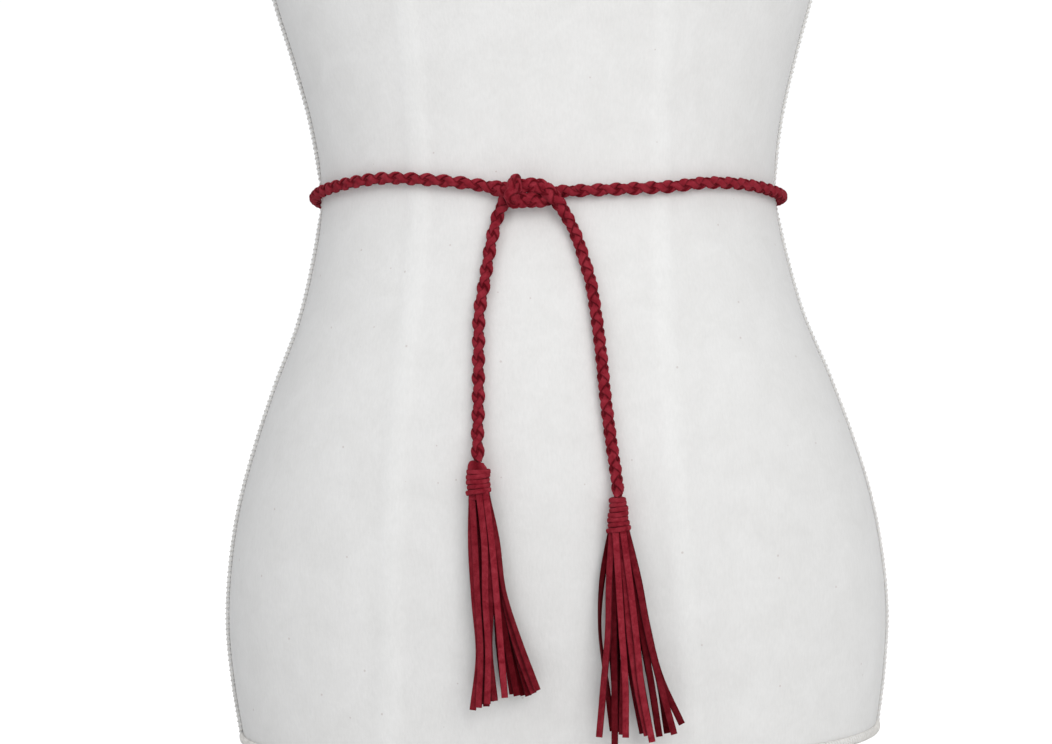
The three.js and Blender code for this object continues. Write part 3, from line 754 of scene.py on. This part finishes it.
# Rows of layer, root, upper, middle, lower, end, end height, turn in the middle, turn at the end
STRIPS = {
    "left": np.array([
        (0, 0.3, 2.4, 2.3, 3.2, 2.2, 36.3, 4, -6),
        (0, 3.4, 5.9, 7.5, 9, 10.4, 39, -3, 6),
        (1, -3.1, -2.1, -1.3, -0.5, -2, 34.3, -16, -10),
        (1, 0.1, 2.8, 4.7, 3.6, 5.6, 37.3, 8, 22),
        (1, 3.3, 8.1, 10.9, 17.6, 25.7, 41.8, 58, 24),
        (2, -3.1, -3.9, -2.9, -1.4, -4.8, 32.9, -22, -4),
        (2, 0.3, 5.4, 8.5, 11.8, 16, 39.2, 18, 12),
        (2, 3.4, 7.9, 10.5, 15.7, 23.8, 40.2, 34, 12),
        (3, -3, -0.2, 1.2, 2.4, 1.5, 34.2, 6, 8),
        (3, 0.3, 5.2, 8.2, 11.1, 13.9, 39.7, 10, -8),
        (3, 3.4, 7.7, 10.2, 15.5, 21.4, 38.8, 26, 16),
        (4, -3.1, -2.2, -0.6, 0.6, -0.2, 35, -6, -12),
        (4, 0.1, 4.2, 6.9, 7.9, 10.2, 38.9, 5, 10),
        (4, 3.3, 7.5, 9.9, 12.6, 19.1, 38.8, 20, 8),
        (5, -1.7, 0.9, 2.6, 3.4, 3.6, 36, -8, -5),
        (5, 1.8, 5.6, 8.8, 12.2, 18.2, 39.4, 12, 6),
    ]),
    "right": np.array([
        (0, -1.7, -0.6, 0.4, 1.5, 1.1, 19.5, 3, -5),
        (0, 1.8, 4.6, 7, 9.1, 13.4, 17.2, -4, 5),
        (1, -3.1, -5, -6, -8.6, -11.2, 19.6, -25, -6),
        (1, 0.1, 2.6, 3.8, 6.6, 11.2, 19.9, 20, 18),
        (1, 3.3, 8.4, 12.5, 17.8, 23.8, 20.3, 12, 4),
        (2, -3.1, -2.9, -3.3, -3.5, -4, 12.9, -16, 3),
        (2, 0.1, 1.2, 1.6, 0.6, -0.5, 20.2, 10, -14),
        (2, 3.3, 7.3, 10.1, 13.8, 17, 19, 16, 6),
        (3, -3.2, -8.2, -9.8, -7.3, -4.6, 21.6, -78, -20),
        (3, 0.1, 2.1, 2.9, 5.2, 9.3, 20.3, -18, 14),
        (3, 3.4, 8.6, 12.5, 17.8, 27.7, 24.3, 24, 14),
        (4, -3.1, -3.6, -4.3, -3.5, -2, 20.9, -10, 8),
        (4, 0.1, 3.6, 6.4, 9.1, 12.9, 20.4, 6, -9),
        (4, 3.3, 7.9, 11.9, 17.7, 20.9, 19.9, 30, 12),
        (5, -1.7, -1.4, -2.2, -1.4, 0.2, 21, -9, 6),
        (5, 1.8, 5.6, 9.4, 13.5, 16.8, 20.6, 12, -6),
    ]),
}


# %% Strips
def hanging_strip(head, row):
    """A flat strip down a smooth line through its five sideways places, which turns about its
    own length from 0 at the root to its two given turns."""
    layer, places, end_z, turns = row[0], row[1:6], row[6], row[7:9]
    share = np.linspace(0, 1, STRIP_STATIONS)
    x, y = head_axis(head)
    root_z = head["bottom"] - COLLAR_HEIGHT / 2 + ROOT_DEPTH
    depth = (layer - (LAYERS - 1) / 2) * LAYER_PITCH
    path = np.stack([
        x + through(np.linspace(0, 1, 5), places, share),
        y + depth + 0.25 * np.sin(5 * share + layer),
        root_z + (end_z - root_z) * share,
    ], axis=1)
    turn = np.radians(through([0, 0.5, 1], [0, *turns], share))
    face = np.stack([np.sin(turn), -np.cos(turn), np.zeros(len(turn))], axis=1)
    return skin(carry(path, face, lace_profile(STRIP_WIDTH, STRIP_PLY, 0.02, 12, 7.0)))


for side_name, head in HEADS.items():
    strips = [hanging_strip(head, row) for row in STRIPS[side_name]]
    layers_in = STRIPS[side_name][:, 0]
    # Each strip's value is its own random nap tone, made darker for each layer further back as
    # painted shade.
    shade = (FRONT_SHADE - LAYER_PAINTED_SHADE * layers_in
             + rng.uniform(-SHADE_SPREAD, SHADE_SPREAD, len(strips)))
    for strip, tone_and_shade in zip(strips, shade):
        strip["tone_and_shade"] = tone_and_shade
    make_piece(f"strips_{side_name}", [head_core(head), *strips],
                                    strip_suede)
    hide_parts(f"tassel_{side_name}")

# %% [markdown]
# ## The two tails
#
# Each tail leaves the knot and hangs down the form to its tassel.


# %% [markdown]
# ## The form's cover
#
# The form wears a tight cover of off-white cotton. Its seam allowances press through as faint
# flat ridges down the front and the back. Cloth this tight has no folds, so the surface is the
# form itself with those ridges raised on it.

# %% Cover surface
COVER_ROWS = 300
COVER_COLUMNS = 300
# Rows of height and x for the pressed seams left and right of the middle
SEAM_LEFT = np.array([(0, -84), (60, -80), (130, -77), (200, -70), (282, -63), (350, -66),
                      (460, -76), (560, -80), (640, -84), (700, -46), (754, -40)])
SEAM_RIGHT = np.array([(0, 66), (60, 62), (130, 58), (200, 55), (282, 54.5), (350, 58),
                       (460, 68), (560, 74), (640, 80), (700, 46), (754, 40)])
SEAM_HEIGHT = 0.6
SEAM_HALF_WIDTH = 5.0


def cover_surface():
    """The form's surface, lifted by SEAM_HEIGHT / (1 + (distance / half width)^8) along the
    pressed seams, where distance is measured sideways, and the share of that lift per point."""
    z = np.linspace(0, FORM_TOP, COVER_ROWS)
    angle = np.linspace(0, 2 * np.pi, COVER_COLUMNS + 1)[:-1]
    surface = form_point(angle[None, :], z[:, None])
    lift = np.zeros(surface.shape[:2])
    for seam in (SEAM_LEFT, SEAM_RIGHT):
        line = through(seam[:, 0], seam[:, 1], z)[:, None]
        lift += 1 / (1 + ((surface[..., 0] - line) / SEAM_HALF_WIDTH) ** 8)
    surface += SEAM_HEIGHT * lift[..., None] * outward(surface)
    surface[..., 2] = z[:, None]
    return surface, lift


# %% Cover cloth
CLOTH_PALE = (0.832, 0.832, 0.828)
CLOTH_SHADE = (0.782, 0.781, 0.774)
SPECK = (0.32, 0.2, 0.17)


def cover_cloth():
    """Plain cotton: fine slubs along the threads in colour and bump, faint mottling and a few
    seed specks."""
    material, tree, shader = new_material("cover_cloth", 0.92, Sheen_Weight=0.12,
                                          Sheen_Roughness=0.5, Specular_IOR_Level=0.15)
    place = add_node(tree, "ShaderNodeTexCoord")
    mottle = add_node(tree, "ShaderNodeTexNoise",
                      {"Vector": place.outputs["Object"], "Scale": 48.0, "Detail": 7.0,
                       "Roughness": 0.68, "Distortion": 0.5})
    colour = ramp(tree, mottle.outputs["Fac"], (0.3, CLOTH_SHADE), (0.68, CLOTH_PALE))
    seam = add_node(tree, "ShaderNodeAttribute", attribute_name="tone_and_shade")
    colour = multiply(tree, colour, ramp(tree, seam.outputs["Fac"],
                                         (0.0, grey(0.985)), (1.0, (1.018, 1.02, 1.02))))
    slub_place = add_node(tree, "ShaderNodeMapping",
                          {"Vector": place.outputs["Object"], "Scale": (900.0, 900.0, 260.0)})
    slub = add_node(tree, "ShaderNodeTexNoise",
                    {"Vector": slub_place.outputs["Vector"], "Scale": 1.0, "Detail": 4.0,
                     "Roughness": 0.65})
    colour = multiply(tree, colour, ramp(tree, slub.outputs["Fac"],
                                         (0.3, grey(0.965)), (0.7, grey(1.015))))
    seeds = add_node(tree, "ShaderNodeTexVoronoi",
                     {"Vector": place.outputs["Object"], "Scale": 130.0})
    near = add_node(tree, "ShaderNodeMath", {0: seeds.outputs["Distance"], 1: 0.075},
                    operation="LESS_THAN")
    chance = add_node(tree, "ShaderNodeSeparateColor", {"Color": seeds.outputs["Color"]})
    chosen = add_node(tree, "ShaderNodeMath", {0: chance.outputs["Red"], 1: 0.78},
                      operation="GREATER_THAN")
    speck = add_node(tree, "ShaderNodeMath",
                     {0: near.outputs["Value"], 1: chosen.outputs["Value"]},
                     operation="MULTIPLY")
    faint = add_node(tree, "ShaderNodeMath", {0: speck.outputs["Value"], 1: 0.26},
                     operation="MULTIPLY")
    specked = add_node(tree, "ShaderNodeMix", {"Factor": faint.outputs["Value"]},
                       data_type="RGBA")
    tree.links.new(colour, specked.inputs["A"])
    specked.inputs["B"].default_value = (*SPECK, 1.0)
    tree.links.new(specked.outputs["Result"], shader.inputs["Base Color"])
    pill = add_node(tree, "ShaderNodeTexNoise",
                    {"Vector": place.outputs["Object"], "Scale": 420.0, "Detail": 3.0})
    height = add_node(tree, "ShaderNodeMath",
                      {0: slub.outputs["Fac"], 1: pill.outputs["Fac"]}, operation="ADD")
    bump = add_node(tree, "ShaderNodeBump",
                    {"Height": height.outputs["Value"], "Strength": 0.4, "Distance": 0.0002})
    tree.links.new(bump.outputs["Normal"], shader.inputs["Normal"])
    return material


cover_material = cover_cloth()
surface, seam_lift = cover_surface()
cover_skin = skin(surface)
cover_skin["tone_and_shade"] = np.append(seam_lift.clip(0, 1).ravel(), [0.0, 0.0])
cover = make_piece("form_cover", [cover_skin], cover_material, crease=60.0)
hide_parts("dress_form_body")

# %% [markdown]
# ## Overlocked seams and hem
#
# The cover's side seams and its hem are sewn on an overlocking machine: the raw edges stand out
# as a narrow fin, and looper threads wind round it. A fin carried along the seam and a real
# thread wound round it show that from close by, which bump would not do at the outline. Under
# the belt the fin lies pressed flat.

# %% Thread material
THREAD_SHADE = (0.68, 0.665, 0.64)
THREAD_PALE = (0.84, 0.825, 0.8)


def thread_cotton():
    """Soft warm white thread with faint patches of tone."""
    material, tree, shader = new_material("thread_cotton", 0.8, Sheen_Weight=0.1)
    place = add_node(tree, "ShaderNodeTexCoord")
    noise = add_node(tree, "ShaderNodeTexNoise",
                     {"Vector": place.outputs["Object"], "Scale": 600.0, "Detail": 2.0})
    colour = ramp(tree, noise.outputs["Fac"], (0.3, THREAD_SHADE), (0.7, THREAD_PALE))
    tree.links.new(colour, shader.inputs["Base Color"])
    return material


# %% Fins and the thread round them
THREAD_RADIUS = 0.36  # of the hem
SIDE_THREAD_RADIUS = 0.42
FIN_POINTS = 10
STATIONS_PER_STITCH = 14


def round_profile(radius, points=6):
    """A circle of points."""
    turn = 2 * np.pi * np.arange(points) / points
    return radius * np.stack([np.cos(turn), np.sin(turn)], axis=1)


def fin(line, out, reach, thickness):
    """An upright band along a line: each ring is a flat ellipse from the line out to reach."""
    tangent = unit(np.gradient(line, axis=0))
    across = unit(np.cross(tangent, out))
    turn = 2 * np.pi * np.arange(FIN_POINTS) / FIN_POINTS
    half = reach[:, None, None] / 2
    rings = (line[:, None] + half * (1 + np.cos(turn))[None, :, None] * out[:, None]
             + thickness / 2 * np.sin(turn)[None, :, None] * across[:, None])
    return skin(rings)


def looper_thread(line, out, reach, thickness, pitch, radius):
    """A thread wound round a fin: once round the fin's flat ellipse in each pitch."""
    lengths = np.concatenate([[0], np.cumsum(np.linalg.norm(np.diff(line, axis=0), axis=1))])
    along = np.arange(0, lengths[-1], pitch / STATIONS_PER_STITCH)
    at = [np.interp(along, lengths, line[:, i]) for i in range(3)]
    sides = [np.interp(along, lengths, out[:, i]) for i in range(3)]
    base, rise = np.stack(at, axis=1), unit(np.stack(sides, axis=1))
    width = np.interp(along, lengths, reach)[:, None]
    tangent = unit(np.gradient(base, axis=0))
    across = unit(np.cross(tangent, rise))
    turn = (2 * np.pi * along / pitch)[:, None]
    path = (base + width / 2 * (1 + np.cos(turn)) * rise
            + thickness / 2 * np.sin(turn) * across)
    face = unit(np.cos(turn) * rise + np.sin(turn) * across)
    return skin(carry(path, face, round_profile(radius)))


# %% Side seams
FIN_THICKNESS = 1.0
SIDE_PITCH = 2.7
SEAM_ANGLE = 85.0  # degrees from the front; the side seams lie a little before the widest line
SEAM_LEAN = 25.0  # degrees that the fin lies over towards the front
SEAM_FOOT = 3.0  # height at which the fin starts
SEAM_STOP = 4.0  # how far below the form's top it ends
SEAM_STATIONS = 500
BELT_PRESS = 11.0  # height over which the belt presses the fin down
PRESSED_SHARE = 0.97  # share of its reach that it loses there
THREAD_STANDOFF = 0.3  # how much thicker the thread's turns are than the fin
thread_material = thread_cotton()


def side_seam(side_sign, belt_z, full_reach):
    """The fin up one side of the form, from the hem to the neck. It stands straight out of the
    cover, turned by SEAM_LEAN towards the front."""
    z = np.linspace(SEAM_FOOT, FORM_TOP - SEAM_STOP, SEAM_STATIONS)
    angle = np.full(len(z), side_sign * math.radians(SEAM_ANGLE))
    line = form_point(angle, z)
    normal = outward(line)
    lean = math.radians(SEAM_LEAN)
    out = unit(normal * math.cos(lean) + np.array([0, -1.0, 0]) * math.sin(lean))
    pressed = np.exp(-((z - belt_z) / BELT_PRESS) ** 2)
    reach = full_reach * (1 - PRESSED_SHARE * pressed)
    return line, out, reach


# Rows of side, sign of x, height of the belt and reach of the fin
for side_name, sign, belt_z, full_reach in (("left", -1, 284.0, 2.0), ("right", 1, 279.5, 1.6)):
    line, out, reach = side_seam(sign, belt_z, full_reach)
    make_piece(f"side_seam_{side_name}", [fin(line, out, reach, FIN_THICKNESS)],
               cover_material)
    make_piece(f"side_thread_{side_name}",
               [looper_thread(line, out, reach, FIN_THICKNESS + THREAD_STANDOFF, SIDE_PITCH,
                              SIDE_THREAD_RADIUS)],
               thread_material)

# %% Hem
HEM_FOOT = 0.6  # height of its lower edge
HEM_LIFT = 1.3  # distance of its middle from the form
HEM_REACH = 4.0
HEM_THICKNESS = 2.0
HEM_PITCH = 2.0
HEM_STATIONS = 900


def hem_line():
    """The hem's edge once round the foot of the form, and the way the band stands on it."""
    angle = np.linspace(0, 2 * np.pi, HEM_STATIONS)
    line = round_form(angle, np.full(len(angle), HEM_FOOT), np.full(len(angle), HEM_LIFT))
    line[:, 2] = HEM_FOOT
    out = np.repeat([[0.0, 0.0, 1.0]], len(angle), axis=0)
    return line, out, np.full(len(angle), HEM_REACH)


line, out, reach = hem_line()
make_piece("hem_band", [fin(line, out, reach, HEM_THICKNESS)], cover_material)
make_piece("hem_thread",
           [looper_thread(line, out, reach, HEM_THICKNESS + THREAD_STANDOFF, HEM_PITCH,
                          THREAD_RADIUS)],
           thread_material)

# %% [markdown]
# ## Studio
#
# The photograph is high key: a white surround, a large soft light from the front and right, and
# only a gentle shade on the form's left. A white world gives the even light, a big panel above
# keeps the floor white, and one panel on the right gives the form its shape. A small weak panel
# close by on the upper left lifts the shade above the belt, as a white wall nearby would. The
# world and the floor look whiter to the camera than the light that they give.

# %% Floor and lights
FLOOR_SIZE = 40.0
FLOOR_BASE = 0.88
FLOOR_GLOW = 0.05
FLOOR_GLOW_SEEN = 0.72
WORLD_LIGHT = 0.46
WORLD_SEEN = 1.06


def seen_or_not(tree, unseen, seen):
    """One value for light that goes on to other surfaces and one for what the camera sees."""
    path = add_node(tree, "ShaderNodeLightPath")
    value = add_node(tree, "ShaderNodeMapRange", {"Value": path.outputs["Is Camera Ray"],
                                                  "To Min": unseen, "To Max": seen})
    return value.outputs["Result"]


def plain_floor():
    """A flat pale floor that isn't part of the object."""
    half = FLOOR_SIZE / 2
    mesh = bpy.data.meshes.new("floor")
    mesh.from_pydata([(-half, -half, 0), (half, -half, 0), (half, half, 0), (-half, half, 0)],
                     [], [(0, 1, 2, 3)])
    material, tree, shader = new_material("floor_pale", 0.9)
    shader.inputs["Base Color"].default_value = (*grey(FLOOR_BASE), 1.0)
    shader.inputs["Emission Color"].default_value = (1.0, 1.0, 1.0, 1.0)
    glow = seen_or_not(tree, FLOOR_GLOW, FLOOR_GLOW_SEEN)
    tree.links.new(glow, shader.inputs["Emission Strength"])
    mesh.materials.append(material)
    floor = bpy.data.objects.new("floor", mesh)
    bpy.context.scene.collection.objects.link(floor)


def panel(name, place, aim, size, power, colour=(1.0, 1.0, 1.0)):
    """A square soft light at a place, turned to face aim."""
    light = bpy.data.lights.new(name, "AREA")
    light.shape = "SQUARE"
    light.size = size
    light.energy = power
    light.color = colour
    lamp = bpy.data.objects.new(name, light)
    lamp.location = place
    towards = camera.location.copy()
    towards.xyz = [a - p for a, p in zip(aim, place)]
    lamp.rotation_mode = "QUATERNION"
    lamp.rotation_quaternion = towards.to_track_quat("-Z", "Y")
    bpy.context.scene.collection.objects.link(lamp)


plain_floor()
panel("panel_above", (0.0, -0.3, 2.6), (0.0, 0.0, 0.0), 2.6, 10.0)
panel("panel_right", (0.95, -2.25, 1.3), (0.0, 0.0, 0.3), 1.7, 28.5, (1.0, 0.985, 0.965))
panel("panel_left", (-0.42, -0.55, 0.72), (-0.1, 0.0, 0.4), 0.4, 1.0)
world = bpy.data.worlds.new("white_studio")
world.use_nodes = True
sky = world.node_tree
backing = sky.nodes["Background"]
backing.inputs["Color"].default_value = (0.975, 0.985, 1.0, 1.0)
sky.links.new(seen_or_not(sky, WORLD_LIGHT, WORLD_SEEN), backing.inputs["Strength"])
bpy.context.scene.world = world
bpy.context.scene.view_settings.view_transform = "Standard"
bpy.context.scene.view_settings.look = "None"
